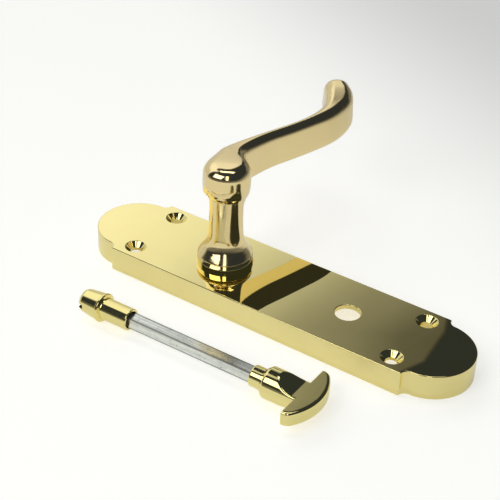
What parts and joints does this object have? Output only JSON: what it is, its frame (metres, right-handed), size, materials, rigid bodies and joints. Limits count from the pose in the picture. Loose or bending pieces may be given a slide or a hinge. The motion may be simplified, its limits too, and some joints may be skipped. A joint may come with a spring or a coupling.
{
  "type": "bathroom door lever on backplate with thumb turn",
  "caption": "Sprung scroll lever on a shaped backplate with screw and turn holes, and a loose thumb turn with square spindle and coin release.",
  "frame": {"origin": "on the lever's axis, in the mounting plane at the back of the plate, which is also the surface that everything lies on", "axes": "+X along the backplate from the lever's axis to the thumb turn's hole, which is downwards on a hung door; +Y across the plate, the way the lever's arm points at rest; +Z out of the door, along the lever's axis"},
  "size_m": [0.17, 0.1549, 0.0554],
  "materials": {
    "plate_brass": "mirror polished and lacquered",
    "lever_brass": "polished and lacquered",
    "trim_brass": "polished, lathe turned",
    "turn_brass": "mirror polished and lacquered",
    "spindle_steel": "drawn bright bar, zinc plated",
    "plated_steel": "zinc plated pressing",
    "spring_steel": "oiled spring steel",
    "nylon": "natural nylon"
  },
  "bodies": {
    "root": {"backplate": "plate_brass", "base_ring": "trim_brass", "bearing_bush": "nylon", "spring_cover": "plated_steel", "cover_screws": "plated_steel", "stop_pins": "plated_steel", "spring_post": "plated_steel", "return_spring": "spring_steel"},
    "lever_turn": {"lever": "lever_brass", "neck_washer": "nylon", "spring_driver": "plated_steel", "wave_washer": "spring_steel", "circlip": "spring_steel"},
    "turn_lift": {"turn_washer": "trim_brass"},
    "thumb_turn": {"turn_knob": "turn_brass", "turn_spindle": "spindle_steel", "grub_screw": "plated_steel"},
    "release": {"coin_release": "turn_brass"}
  },
  "joints": [
    {"name": "lever_turn", "type": "hinge", "parent": "root", "child": "lever_turn", "pos_m": [0, 0, 0], "axis": [0, 0, -1], "range_deg": [0, 50], "stiffness_Nm_per_rad": 0.12, "springref_deg": -68.75, "deforming": ["return_spring"]},
    {"name": "set_lift", "type": "slide", "parent": "root", "child": "turn_lift", "axis": [0, 0, 1], "range_m": [0, 0.018]},
    {"name": "thumb_turn", "type": "hinge", "parent": "turn_lift", "child": "thumb_turn", "pos_m": [0.05, -0.04797, 0.0062], "axis": [0.9999, 0.0147, 0], "range_deg": [0, 90]},
    {"name": "release_slide", "type": "slide", "parent": "thumb_turn", "child": "release", "axis": [-0.9999, -0.0147, 0], "range_m": [-0.007, 0.024]}
  ],
  "couplings": [
    {"joint": "thumb_turn", "follows": "set_lift", "rad_per_m": 87.2}
  ]
}
